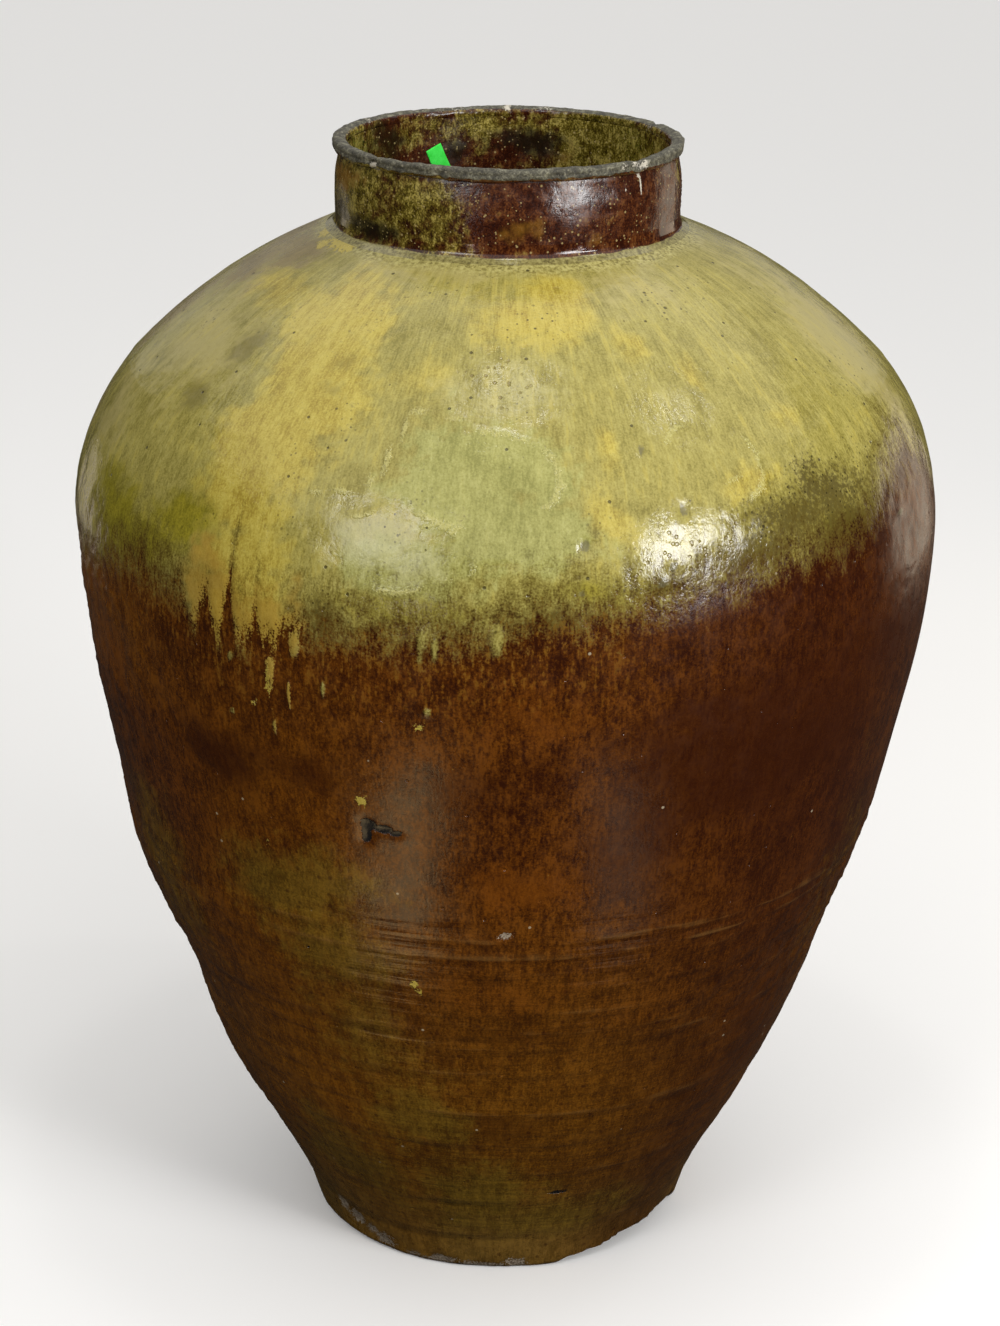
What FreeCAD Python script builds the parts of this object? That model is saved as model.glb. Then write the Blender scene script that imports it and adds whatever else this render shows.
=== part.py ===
import FreeCAD, Part
import math
import os

# Martaban jar: a large stoneware storage jar with a flat base, a tall body that widens to a broad
# shoulder, a short neck and a rolled lip. Such a jar is thrown in sections, which are luted together
# while the clay is leather hard: a base disc, a lower wall, a belly wall, a shoulder, a neck collar
# and a lip. A coil of soft clay is pressed along each seam of the body.
#
# Frame: millimetres, +Z up, origin at the centre of the base. -Y is the side that faces the viewer.
# Outlines are drawn in the XZ plane as (radius, height) and turned about Z.

# Heights of the sections, from the floor up
BASE_THICKNESS = 18.0
LOWER_WALL_HEIGHT = 285.0
BELLY_WALL_HEIGHT = 210.0
SHOULDER_HEIGHT = 191.5
NECK_HEIGHT = 48.3

# Outer outline of the body: soft corners, each with its radius from the axis and its place
BASE_RADIUS = 130.0
FOOT_RADIUS = 137.5
FOOT_HEIGHT = 26.0
LOWER_BEND_RADIUS = 200.0
LOWER_BEND_BELOW_SEAM = 153.0
FLANK_BEND_RADIUS = 248.8
FLANK_BEND_BELOW_SEAM = 18.0
BELLY_RADIUS = 285.4
BELLY_BEND_BELOW_SEAM = 55.0
SHOULDER_BEND_ABOVE_SEAM = 60.0
SHOULDER_CROWN_RADIUS = 202.0
SHOULDER_CROWN_BELOW_NECK = 43.0

# Radius of the arc that softens each of those corners
FOOT_BLEND = 120.0
LOWER_BLEND = 400.0
FLANK_BLEND = 350.0
BELLY_BLEND = 470.0
SHOULDER_BLEND = 158.0
CROWN_BLEND = 360.0

# Walls and seams
WALL = 12.0
WORN_EDGE = 4.0             # rounding of the base's outer edge
SEAM_BEVEL = 20.0           # degrees; a section seats on a rim that slopes down to the inside
SEAM_COIL_RADIUS = 30.0     # a coil smeared along a seam has this round face
SEAM_COIL_PROUD = 5.0       # and stands this far out from the inner wall
BASE_COIL_RADIUS = 17.0
COIL_SLIP = 0.2             # thickness of the slip that lutes a coil to the wall
NECK_COIL_SIZE = 8.0        # of the coil up the neck and along the shoulder, before they trim it
NECK_COIL_HOLLOW = 0.8      # how far a thumb has hollowed its face

# Finger rings that the potter's hand left on the lower wall
RING_FIRST_HEIGHT = 62.0
RING_LAST_BELOW_SEAM = 14.0
RING_PITCH = 19.0
RING_DRIFT = 3.0            # the hand doesn't climb evenly
RING_DEPTH = 0.7
RING_FINGER_RADIUS = 11.0

# Neck and lip
MOUTH_RADIUS = 103.0
NECK_WALL = 8.0
NECK_TAPER = 0.8            # the neck draws in by this much towards the lip
NECK_SWELL = 1.2            # and swells by this much between
LIP_DIAMETER = 9.6
LIP_OVERHANG = 2.6          # the roll stands this far out over the top of the neck
LIP_SEAT_DEPTH = 2.4        # the roll lies this deep in the neck's hollowed top edge

# Paper price label on the inside of the neck
LABEL_WIDTH = 12.0
LABEL_LENGTH = 22.0
LABEL_THICKNESS = 0.2
LABEL_PASTE = 0.2           # thickness of the paste behind it
LABEL_AZIMUTH = 117.0       # degrees from +X towards +Y
LABEL_BELOW_LIP = 36.0      # from the top of the lip to the label's middle
LABEL_TILT = 24.0           # degrees from upright

# Levels and radii that follow from those sizes
LOWER_SEAM_Z = BASE_THICKNESS + LOWER_WALL_HEIGHT
BELLY_SEAM_Z = LOWER_SEAM_Z + BELLY_WALL_HEIGHT
NECK_SEAM_Z = BELLY_SEAM_Z + SHOULDER_HEIGHT
NECK_TOP_Z = NECK_SEAM_Z + NECK_HEIGHT
NECK_ROOT_RADIUS = MOUTH_RADIUS + NECK_WALL
NECK_TOP_RADIUS = NECK_ROOT_RADIUS - NECK_TAPER
LIP_RADIUS = NECK_TOP_RADIUS + LIP_OVERHANG - LIP_DIAMETER / 2
LIP_Z = NECK_TOP_Z - LIP_SEAT_DEPTH + LIP_DIAMETER / 2
LIP_TOP_Z = LIP_Z + LIP_DIAMETER / 2
CLEAR_OF_JAR = 2 * BELLY_RADIUS     # cutting shapes reach this far, well past the outside

AXIS_FOOT = FreeCAD.Vector(0, 0, 0)
UP = FreeCAD.Vector(0, 0, 1)
OUT = FreeCAD.Vector(1, 0, 0)


def point(radius, height):
    """A point of an outline, in the plane that is turned about the axis."""
    return FreeCAD.Vector(radius, 0, height)


def lines(points):
    """Straight edges from each point to the next."""
    return [Part.LineSegment(a, b).toShape() for a, b in zip(points, points[1:])]


def turned(edges):
    """The solid that a closed outline sweeps in a full turn about the axis."""
    return Part.Face(Part.Wire(edges)).revolve(AXIS_FOOT, UP, 360)


def filled(edges, bottom, top):
    """The full solid inside an outline that runs from bottom to top."""
    return turned(edges + lines([top, point(0, top.z), point(0, bottom.z), bottom]))


def ring(radius, height, section_radius):
    """A round coil about the axis."""
    return Part.makeTorus(radius, section_radius, point(0, height), UP)


def soft_outline(corners, blends):
    """Edges through the corners, with each corner between the ends rounded by a tangent arc.

    A blend is an arc's radius. Two arcs that would run into each other share the run between them."""
    runs = [b - a for a, b in zip(corners, corners[1:])]
    half_turns = [a.getAngle(b) / 2 for a, b in zip(runs, runs[1:])]
    reaches = [0.0] + [blend * math.tan(turn) for blend, turn in zip(blends, half_turns)] + [0.0]
    shares = [min(1.0, 0.98 * run.Length / (a + b)) for run, a, b in zip(runs, reaches, reaches[1:])]
    edges = []
    start = corners[0]
    for i, half_turn in enumerate(half_turns, start=1):
        before = runs[i - 1] / runs[i - 1].Length
        after = runs[i] / runs[i].Length
        reach = reaches[i] * min(shares[i - 1], shares[i])
        to_arc = reach / math.tan(half_turn) * (1 / math.cos(half_turn) - 1)
        arc_start = corners[i] - before * reach
        arc_end = corners[i] + after * reach
        arc_middle = corners[i] + (after - before).normalize() * to_arc
        edges += lines([start, arc_start])
        edges.append(Part.Arc(arc_start, arc_middle, arc_end).toShape())
        start = arc_end
    return edges + lines([start, corners[-1]])


def crossing(a, along_a, b, along_b):
    """Where the line through a meets the line through b, in the outline's plane."""
    gap = b - a
    turn = along_a.x * along_b.z - along_a.z * along_b.x
    return a + along_a * ((gap.x * along_b.z - gap.z * along_b.x) / turn)


def inner_corners(corners, depth):
    """Corners of an outline at a depth under the outer one: each run is moved in and met with the next."""
    moved = []
    for a, b in zip(corners, corners[1:]):
        along = (b - a).normalize()
        inward = FreeCAD.Vector(-along.z, 0, along.x)
        moved.append((a + inward * depth, along))
    between = [crossing(*before, *after) for before, after in zip(moved, moved[1:])]
    foot = crossing(*moved[0], corners[0], OUT)
    mouth = crossing(*moved[-1], point(MOUTH_RADIUS, 0), UP)
    return [foot] + between + [mouth]


def inner_blends(corners, blends, depth):
    """A bend that swells outwards is tighter inside by the depth, and a hollow one is wider."""
    inner = []
    for a, b, c, blend in zip(corners, corners[1:], corners[2:], blends):
        swells = (b - a).x * (c - b).z - (b - a).z * (c - b).x > 0
        inner.append(blend - depth if swells else blend + depth)
    return inner


OUTER = [
    point(BASE_RADIUS, 0),
    point(FOOT_RADIUS, FOOT_HEIGHT),
    point(LOWER_BEND_RADIUS, LOWER_SEAM_Z - LOWER_BEND_BELOW_SEAM),
    point(FLANK_BEND_RADIUS, LOWER_SEAM_Z - FLANK_BEND_BELOW_SEAM),
    point(BELLY_RADIUS, BELLY_SEAM_Z - BELLY_BEND_BELOW_SEAM),
    point(BELLY_RADIUS, BELLY_SEAM_Z + SHOULDER_BEND_ABOVE_SEAM),
    point(SHOULDER_CROWN_RADIUS, NECK_SEAM_Z - SHOULDER_CROWN_BELOW_NECK),
    point(NECK_ROOT_RADIUS, NECK_SEAM_Z),
]
BLENDS = [FOOT_BLEND, LOWER_BLEND, FLANK_BLEND, BELLY_BLEND, SHOULDER_BLEND, CROWN_BLEND]
INNER = inner_corners(OUTER, WALL)
OUTSIDE = soft_outline(OUTER, BLENDS)
INSIDE = soft_outline(INNER, inner_blends(OUTER, BLENDS, WALL))
NECK_ROOT = OUTER[-1]


def radius_at(outline, height):
    """Radius of an outline at a height."""
    level = Part.LineSegment(point(0, height), point(CLEAR_OF_JAR, height)).toShape()
    return Part.Wire(outline).distToShape(level)[1][0][0].x


def facing_out(outline, height):
    """The direction square to an outline at a height, away from the axis."""
    lean = radius_at(outline, height + 0.5) - radius_at(outline, height - 0.5)
    return (OUT - UP * lean).normalize()


def seam_point(seam_z, radius):
    """Where a bevelled seam is at a radius. It is at seam_z on the outside, and falls to the inside."""
    drop = (radius_at(OUTSIDE, seam_z) - radius) * math.tan(math.radians(SEAM_BEVEL))
    return point(radius, seam_z - drop)


def above_seam(seam_z):
    """Everything over a bevelled seam."""
    on_axis = seam_point(seam_z, 0)
    far_out = seam_point(seam_z, CLEAR_OF_JAR)
    top = far_out.z + LIP_TOP_Z
    return turned(lines([on_axis, far_out, point(CLEAR_OF_JAR, top), point(0, top), on_axis]))


def room_inside(slip=0.0):
    """The hollow of the body, from the base disc up to the neck, less a layer of slip on its wall."""
    corners = inner_corners(OUTER, WALL + slip)
    outline = soft_outline(corners, inner_blends(OUTER, BLENDS, WALL + slip))
    top = point(MOUTH_RADIUS, NECK_SEAM_Z)
    return filled(outline + lines([corners[-1], top]), corners[0], top).cut(base_slab())


def base_slab():
    """All that lies at the height of the base disc."""
    return Part.makeCylinder(CLEAR_OF_JAR, BASE_THICKNESS)


def base_disc(body):
    """The slab that the jar stands on, with its outer edge worn round."""
    disc = body.common(base_slab())
    edge = [e for e in disc.Edges if e.Vertexes[0].Z < WORN_EDGE and e.Vertexes[-1].Z < WORN_EDGE]
    return disc.makeFillet(WORN_EDGE, edge)


def base_coil(slipped_room):
    """The coil pressed into the corner between the base and the wall."""
    foot, bend = INNER[:2]
    corner = foot + (bend - foot) * (BASE_THICKNESS / (bend.z - foot.z))
    return ring(corner.x, BASE_THICKNESS, BASE_COIL_RADIUS).common(slipped_room)


def seam_coil(slipped_room, seam_z):
    """A coil smeared over a seam from inside, with its back on both walls."""
    seam = Part.LineSegment(seam_point(seam_z, 0), seam_point(seam_z, CLEAR_OF_JAR)).toShape()
    on_wall = Part.Wire(INSIDE).distToShape(seam)[1][0][0]
    centre = on_wall + facing_out(INSIDE, on_wall.z) * (SEAM_COIL_RADIUS - SEAM_COIL_PROUD)
    return ring(centre.x, centre.z, SEAM_COIL_RADIUS).common(slipped_room)


def neck_coil(shoulder, collar):
    """The coil at the foot of the neck, thumbed into a hollow fillet. Shoulder and neck trim its back."""
    up_neck = NECK_ROOT + UP * NECK_COIL_SIZE
    along_shoulder = (OUTER[-2] - NECK_ROOT).normalize()
    out_shoulder = NECK_ROOT + along_shoulder * NECK_COIL_SIZE - UP * NECK_COIL_HOLLOW
    middle = (up_neck + out_shoulder) / 2
    hollowed = middle + (NECK_ROOT - middle).normalize() * NECK_COIL_HOLLOW
    face = Part.Arc(up_neck, hollowed, out_shoulder).toShape()
    behind = NECK_ROOT - OUT * NECK_WALL / 2 - UP * NECK_COIL_SIZE
    return turned([face] + lines([out_shoulder, behind, up_neck])).cut([shoulder, collar])


def finger_rings():
    """Shallow grooves up the lower wall, as fingers leave them on the wheel."""
    span = LOWER_SEAM_Z - RING_LAST_BELOW_SEAM - RING_FIRST_HEIGHT
    grooves = []
    for i in range(int(span / RING_PITCH) + 1):
        height = RING_FIRST_HEIGHT + i * RING_PITCH + RING_DRIFT * math.sin(2.4 * i)
        stand_off = facing_out(OUTSIDE, height) * (RING_FINGER_RADIUS - RING_DEPTH)
        finger = point(radius_at(OUTSIDE, height), height) + stand_off
        grooves.append(ring(finger.x, finger.z, RING_FINGER_RADIUS))
    return grooves


def neck_collar(lip):
    """The short neck: a plain bore, a slight swell outside, and a top edge hollowed for the lip."""
    top = point(NECK_TOP_RADIUS, NECK_TOP_Z)
    swell = (NECK_ROOT + top) / 2 + OUT * NECK_SWELL
    outside = Part.Arc(NECK_ROOT, swell, top).toShape()
    bore_top = point(MOUTH_RADIUS, NECK_TOP_Z)
    bore_foot = seam_point(NECK_SEAM_Z, MOUTH_RADIUS)
    return turned([outside] + lines([top, bore_top, bore_foot, NECK_ROOT])).cut(lip)


def price_label():
    """A blank paper label that follows the neck's bore, with its top leaning to the viewer's left."""
    back = MOUTH_RADIUS - LABEL_PASTE
    sleeve = Part.makeCylinder(back, LIP_TOP_Z).cut(Part.makeCylinder(back - LABEL_THICKNESS, LIP_TOP_Z))
    corner = FreeCAD.Vector(0, -LABEL_WIDTH / 2, -LABEL_LENGTH / 2)
    blank = Part.makeBox(MOUTH_RADIUS + NECK_WALL, LABEL_WIDTH, LABEL_LENGTH, corner)
    blank.rotate(AXIS_FOOT, OUT, -LABEL_TILT)
    blank.rotate(AXIS_FOOT, UP, LABEL_AZIMUTH)
    blank.translate(UP * (LIP_TOP_Z - LABEL_BELOW_LIP))
    return sleeve.common(blank)


def build():
    """Every piece of the jar, by name."""
    body = filled(OUTSIDE, OUTER[0], NECK_ROOT)
    slipped_room = room_inside(COIL_SLIP)
    wall = body.cut(room_inside()).cut(base_slab())
    over_lower = above_seam(LOWER_SEAM_Z)
    over_belly = above_seam(BELLY_SEAM_Z)
    over_neck = above_seam(NECK_SEAM_Z)
    lip = ring(LIP_RADIUS, LIP_Z, LIP_DIAMETER / 2)
    shoulder = wall.common(over_belly).cut(over_neck)
    collar = neck_collar(lip)
    return {
        "base_disc": base_disc(body),
        "base_coil": base_coil(slipped_room),
        "lower_wall": wall.cut([over_lower] + finger_rings()),
        "lower_seam_coil": seam_coil(slipped_room, LOWER_SEAM_Z),
        "belly_wall": wall.common(over_lower).cut(over_belly),
        "belly_seam_coil": seam_coil(slipped_room, BELLY_SEAM_Z),
        "shoulder": shoulder,
        "neck_seam_coil": neck_coil(shoulder, collar),
        "neck_collar": collar,
        "rolled_lip": lip,
        "price_label": price_label(),
    }


os.makedirs("parts", exist_ok=True)
for node, shape in build().items():
    shape.exportStep(os.path.join("parts", node + ".step"))
    print(f"{node}: {len(shape.Solids)} solid, valid {shape.isValid()}, {shape.Volume / 1000:.1f} cm3")
print(f"room inside, up to the neck: {room_inside().Volume / 1e6:.1f} litres")
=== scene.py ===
import math

import bmesh
import bpy
import numpy as np
from mathutils import Matrix, Vector, noise


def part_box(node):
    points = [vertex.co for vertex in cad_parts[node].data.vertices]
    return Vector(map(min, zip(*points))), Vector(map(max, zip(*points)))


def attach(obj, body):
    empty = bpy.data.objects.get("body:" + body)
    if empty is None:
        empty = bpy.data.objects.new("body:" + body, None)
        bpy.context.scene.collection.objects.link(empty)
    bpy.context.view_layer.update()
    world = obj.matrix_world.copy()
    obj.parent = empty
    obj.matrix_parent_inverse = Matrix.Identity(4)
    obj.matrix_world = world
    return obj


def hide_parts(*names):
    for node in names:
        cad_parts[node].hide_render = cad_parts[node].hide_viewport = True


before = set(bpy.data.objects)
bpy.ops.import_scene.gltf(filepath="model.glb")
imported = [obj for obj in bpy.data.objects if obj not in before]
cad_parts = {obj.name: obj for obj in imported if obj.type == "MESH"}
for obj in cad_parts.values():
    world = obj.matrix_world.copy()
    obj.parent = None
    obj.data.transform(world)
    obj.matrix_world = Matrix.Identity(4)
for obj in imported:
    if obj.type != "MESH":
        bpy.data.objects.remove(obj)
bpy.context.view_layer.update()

# A large stoneware storage jar: brown glaze on the body, an ash glaze that ran down the shoulder, a short
# glazed neck and a bare rolled lip. Shapes are in millimetres and turned into metres as a mesh is made.
# An azimuth is in degrees about the jar, 0 at the front and plus towards the viewer's right.
MM = 0.001


def top_of(node):
    """The highest level of a node, in millimetres."""
    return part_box(node)[1].z / MM


# Levels of the seams, from the construction
BASE_TOP = top_of("base_disc")
LOWER_SEAM = top_of("lower_wall")
BELLY_SEAM = top_of("belly_wall")
NECK_SEAM = top_of("shoulder")
NECK_TOP = top_of("neck_collar")

# Outer outline of the body: radius and height of each soft corner, and the arc that rounds it
OUTLINE = [
    (130.0, 0.0, 0.0),
    (137.5, 26.0, 120.0),
    (200.0, 150.0, 400.0),
    (248.8, 285.0, 350.0),
    (285.4, 458.0, 470.0),
    (285.4, 573.0, 158.0),
    (202.0, 661.5, 360.0),
    (111.0, NECK_SEAM, 0.0),
]
WALL = 12.0
WORN_EDGE = 4.0
UNDERSIDE_RADIUS = 102.0
SEAM_BEVEL = math.radians(20)
MOUTH_RADIUS = 103.0
NECK_ROOT_RADIUS = 111.0
BORE_FOOT = NECK_SEAM - (NECK_ROOT_RADIUS - MOUTH_RADIUS) * math.tan(SEAM_BEVEL)
NECK_TOP_RADIUS = 110.2
NECK_SWELL = 1.2
UNDER_LIP_HOLLOW = 1.3
COVE_SIZE = 8.0
COVE_THICKNESS = 0.7
COVE_BLEND = 5.0

# The rolled lip's section, from its node's box
LIP_LOW, LIP_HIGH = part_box("rolled_lip")
LIP_SECTION = (LIP_HIGH.z - LIP_LOW.z) / 2 / MM
LIP_LEVEL = (LIP_HIGH.z + LIP_LOW.z) / 2 / MM
LIP_RADIUS = LIP_HIGH.x / MM - LIP_SECTION

# Density of the meshes
SPIN_STEPS = 48
SPIN_CUTS = 12
ROW = 2.5
INSIDE_ROW = 16.0
SEAM_ROW = 0.3
NECK_ROW = 1.2
COVE_ROW = 0.7
LIP_SIDES = 40
SPIN_HALF = math.pi / SPIN_STEPS
SHARP = math.radians(48)

# Where the ash glaze ends, all round
ASH_EDGE = [
    (-170, 512), (-130, 498), (-95, 510), (-67, 518), (-51, 527), (-43.5, 524), (-41, 502), (-40, 516),
    (-38.8, 530), (-38, 512), (-37, 497), (-36.2, 512), (-35.2, 545), (-34.6, 520), (-34, 502), (-33, 508),
    (-31.8, 507), (-31.2, 528), (-30.6, 512), (-30, 506), (-29.2, 511), (-28.5, 500), (-27.6, 518),
    (-18, 521), (-9, 523), (-1, 525), (7, 534), (21, 543), (36, 553), (50, 555), (56, 564), (61, 580),
    (68, 584), (75, 572), (84, 540), (97, 500), (125, 505), (155, 520),
]

# Spots on the skin: azimuth, height, half width and half height in millimetres, strength if not 1
BARE_CHIP = [
    (-47, 19, 9, 8), (-52, 24, 7, 7, 0.9), (-41, 13, 8, 6, 0.8), (-36, 9, 11, 7), (-15.5, 5, 16, 5),
    (4, 5, 12, 5), (-5, 3, 16, 4, 0.9), (0.6, 314, 5, 3), (-26, 5, 10, 4, 0.7), (120, 6, 14, 5, 0.9),
    (-120, 8, 12, 5, 0.9), (170, 5, 16, 4, 0.9),
]
BLACK_CHIP = [
    (-17.4, 391, 6, 4.2), (-15.4, 388, 8, 3.4), (-17.7, 384, 3.6, 7.0), (-13.6, 385, 5, 2.8, 0.9),
    (14, 78, 9, 3, 0.7), (-29, 288, 1.6, 1.6, 0.8),
]
PITS = [(22.5, 587, 3, 5), (9.5, 571, 3.4, 5), (18.5, 618, 3, 4, 0.8), (9, 545, 4, 3, 0.7)]
PIMPLES = [(19, 549, 5, 4), (20.6, 557, 4, 3.6), (62, 552, 8, 3, 0.8)]

# Zones that the body's finish reads, each with its spots
ZONES = {
    "drip": [
        (-29, 486, 2.4, 11), (-26.5, 474, 1.7, 9, 0.9), (-29, 450, 1.6, 6), (-25.5, 507, 3, 9, 0.9),
        (-35, 488, 2, 3, 0.8), (-35.5, 452, 2.2, 2.6, 0.8), (-22, 479, 1.6, 4.5, 0.8), (-9.5, 516, 2.2, 12),
        (-8, 512, 2.2, 7, 0.8), (-9, 472, 2.4, 3, 0.8), (-0.9, 520, 4, 10, 0.7), (112, 490, 6, 30),
        (140, 502, 5, 24), (-150, 500, 6, 26), (-112, 488, 5, 20), (176, 500, 5, 16, 0.9),
    ],
    "combed": [(-38, 520, 24, 34), (-31, 514, 24, 34), (-27, 490, 20, 50, 0.9)],
    "ochre": [
        (-37, 669, 40, 26), (-32, 638, 44, 30), (-35, 612, 46, 30), (-36, 588, 40, 30), (-33, 547, 30, 30),
        (-31, 518, 24, 20), (-37, 512, 14, 20), (-60, 678, 40, 12, 0.7), (12, 690, 26, 10, 0.8),
        (5, 678, 44, 14, 0.8), (-14, 650, 30, 24, 0.5), (23, 667, 14, 12, 0.6), (32, 648, 10, 14, 0.6),
        (45, 622, 18, 14, 0.5), (33, 595, 28, 14, 0.65), (13, 585, 18, 18, 0.6), (14, 619, 9, 20, 0.6),
        (120, 620, 60, 60, 0.9), (-150, 640, 70, 34, 0.9), (-125, 570, 40, 50, 0.7),
        (165, 560, 50, 30, 0.6),
    ],
    "olive": [
        (-60, 550, 62, 26), (-45, 560, 36, 22), (-51, 541, 52, 20), (-76, 550, 50, 26, 0.9),
        (-12, 536, 50, 10, 0.6), (8, 546, 40, 9, 0.5), (48, 560, 50, 14, 0.7), (60, 548, 30, 20, 0.7),
        (100, 520, 60, 24, 0.9), (-105, 535, 50, 26, 0.9), (150, 548, 60, 18, 0.7),
        (-165, 540, 50, 20, 0.8),
    ],
    "grey_green": [
        (-4, 607, 50, 26), (0, 576, 52, 24, 0.9), (-12, 556, 50, 18, 0.8), (-95, 600, 60, 40, 0.7),
        (180, 620, 80, 40, 0.8),
    ],
    # A pale, matte glaze, with painted highlight where the soft lamps shine on the shoulder
    "pale_glaze_and_sheen": [(-17, 571, 25, 16), (-11, 560, 24, 12, 0.7), (0, 645, 60, 18, 0.5), (150, 600, 30, 20, 0.6)],
    # Grey khaki of the glaze, with painted sheen on the upper shoulder
    "grey_khaki_and_sheen": [
        (-62, 645, 60, 34, 0.8), (-74, 600, 40, 40, 0.7), (28, 690, 60, 14, 0.6), (75, 640, 40, 60),
        (-30, 697, 80, 8, 0.7), (100, 680, 70, 20, 0.6),
    ],
    "taupe": [
        (-74, 694, 40, 14), (-84, 676, 50, 14), (-92, 640, 40, 40, 0.8), (-100, 690, 60, 16),
        (-86, 590, 20, 40, 0.6),
    ],
    "smudge": [
        (-51, 652, 18, 14, 0.9), (-53.5, 624, 20, 10, 0.9), (-30, 640, 14, 8, 0.5), (140, 600, 30, 16, 0.8),
        (-110, 620, 24, 14, 0.7), (175, 590, 30, 12, 0.6),
    ],
    "speckled": [
        (45.5, 580, 44, 18), (38, 572, 34, 15), (49, 557, 42, 19, 1.2), (32, 558, 30, 11, 0.9),
        (60, 552, 36, 24), (-22, 524, 8, 12, 0.8), (5, 528, 30, 7, 0.7), (20, 549, 20, 6, 0.6),
        (-140, 540, 40, 16, 0.9), (105, 540, 30, 16, 0.8),
    ],
    "flake": [
        (-60, 700, 15, 4), (-78, 702, 11, 4), (-68, 698, 8, 3, 0.8), (-18, 407, 4, 4),
        (-29.4, 478, 2.4, 12, 0.8), (-33, 363, 2.0, 2.5, 0.9), (-32, 462, 3, 3, 0.7), (-10, 462, 4, 4, 0.6),
        (-12.4, 273, 3, 4), (-11.8, 268, 1.6, 5, 0.9),
    ],
    "dark_red": [
        (36, 430, 110, 60), (-39, 417, 42, 22, 0.9), (-26, 420, 40, 16, 0.6), (60, 480, 60, 40, 0.8),
        (-100, 470, 60, 50, 0.4), (-4, 420, 40, 24, 0.5), (130, 420, 90, 60, 0.8), (-140, 400, 90, 50, 0.7),
        (18, 390, 44, 60, 0.7), (5, 230, 60, 16, 0.4), (0, 150, 50, 20, 0.5), (60, 330, 60, 90, 0.6),
        (55, 190, 60, 80, 0.5),
    ],
    "amber": [
        (6, 470, 60, 24, 0.7), (-12, 440, 40, 24, 0.5), (3, 350, 50, 30, 0.9), (0, 270, 60, 30, 0.6),
        (-66, 450, 50, 50, 0.8), (-68, 492, 50, 30, 0.9), (-50, 380, 60, 40, 0.6), (24, 250, 60, 30, 0.5),
        (170, 380, 80, 70, 0.7), (-100, 350, 60, 60, 0.6),
    ],
    "moss": [
        (-30, 330, 60, 40), (-24, 290, 50, 40), (-22, 220, 40, 50, 0.8), (-16, 150, 44, 50, 0.9),
        (-4, 80, 44, 40), (-34, 90, 50, 50, 0.9), (62, 300, 40, 110, 0.4), (14, 50, 70, 26, 0.8),
        (-60, 300, 50, 70, 0.7), (110, 150, 70, 90, 0.8), (-120, 140, 60, 70, 0.8), (180, 220, 60, 60, 0.7),
    ],
    "blistered": [
        (21, 560, 34, 20), (-2, 652, 26, 12, 0.8), (30, 566, 26, 12, 0.8), (140, 560, 30, 20, 0.8),
    ],
}

# How far the marks of the skin stand up, go in or reach, in millimetres
DRIP_RISE = 24.0
ASH_THICKNESS = 0.9
ASH_RIPPLE = 0.25
WIDE_WAVE = 0.55
NARROW_WAVE = 0.3
PIMPLE_HEIGHT = 1.3
PIT_DEPTH = 1.2
CHIP_DEPTH = 1.4
BLACK_CHIP_DEPTH = 1.6
FOOT_CRUMBLE = 0.8
FOOT_HEIGHT = 40
PLAIN_BY_NECK = 25

# Slow swells and dents of the thrown wall, as spots whose last number is millimetres outwards
DENTS = [
    (-76, 290, 130, 40, 3.2), (-76, 458, 150, 52, -3.4), (-76, 205, 110, 30, -2.2), (-76, 122, 90, 34, 2.8),
    (75, 255, 130, 48, -4.2), (75, 150, 100, 40, -1.6), (75, 60, 80, 30, -1.6), (64, 548, 24, 34, -1.4),
    (20, 600, 60, 40, 0.7), (-10, 590, 60, 40, 0.8), (130, 330, 120, 70, -2.4), (-150, 420, 140, 80, 2.2),
    (160, 180, 100, 60, 2.0), (17, 571, 9, 7, 0.35), (26, 556, 11, 7, -0.4), (21, 548, 8, 6, 0.4),
    (23, 566, 8, 5, 0.25),
]
SHOULDER_LEAN = 1.7

# Finger rings on the lower body, and the ridges at the seam, by height
RINGS = [29, 62, 95, 127, 153, 174, 194, 212, 225, 247, 264, 277, 287, 320]
RING_DEPTH = 0.6
RING_WIDTH = 3.4
RING_SWAY = 2.5
RING_RIPPLE = 1.2
SEAM_RIDGES = [298, 309]
SEAM_RIDGE_HEIGHT = 0.8

# Patches of thick glaze whose edges stand up, and lines where the glaze crawled
PATCHES = [(-4, 605, 46, 24, 0.8), (-14, 566, 40, 22), (28.5, 605, 32, 24, 0.8), (160, 590, 60, 30)]
CRAWL = [
    (-15, 628, 2.4, 9), (-16.5, 613, 2.4, 9), (-18, 602, 3, 6, 0.9), (-21, 595, 9, 2.2),
    (-25, 592, 8, 2.0, 0.9), (-13, 636, 8, 2.4, 0.8), (-8, 634, 8, 2.0, 0.8), (-10, 580, 6, 1.8, 0.9),
    (-4, 560, 3, 7, 0.7), (-7, 553, 8, 2, 0.7), (31, 598, 10, 1.8, 0.9), (35, 594, 3, 6, 0.8),
]
PATCH_RIM_HEIGHT = 0.6
PATCH_RIM_WIDTH = 1.9

# The foot's edge is broken away at the front right
BREAK_FROM, BREAK_TO = 18, 78
BREAK_HEIGHT = 15.0
BREAK_DEPTH = 20.0


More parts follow.
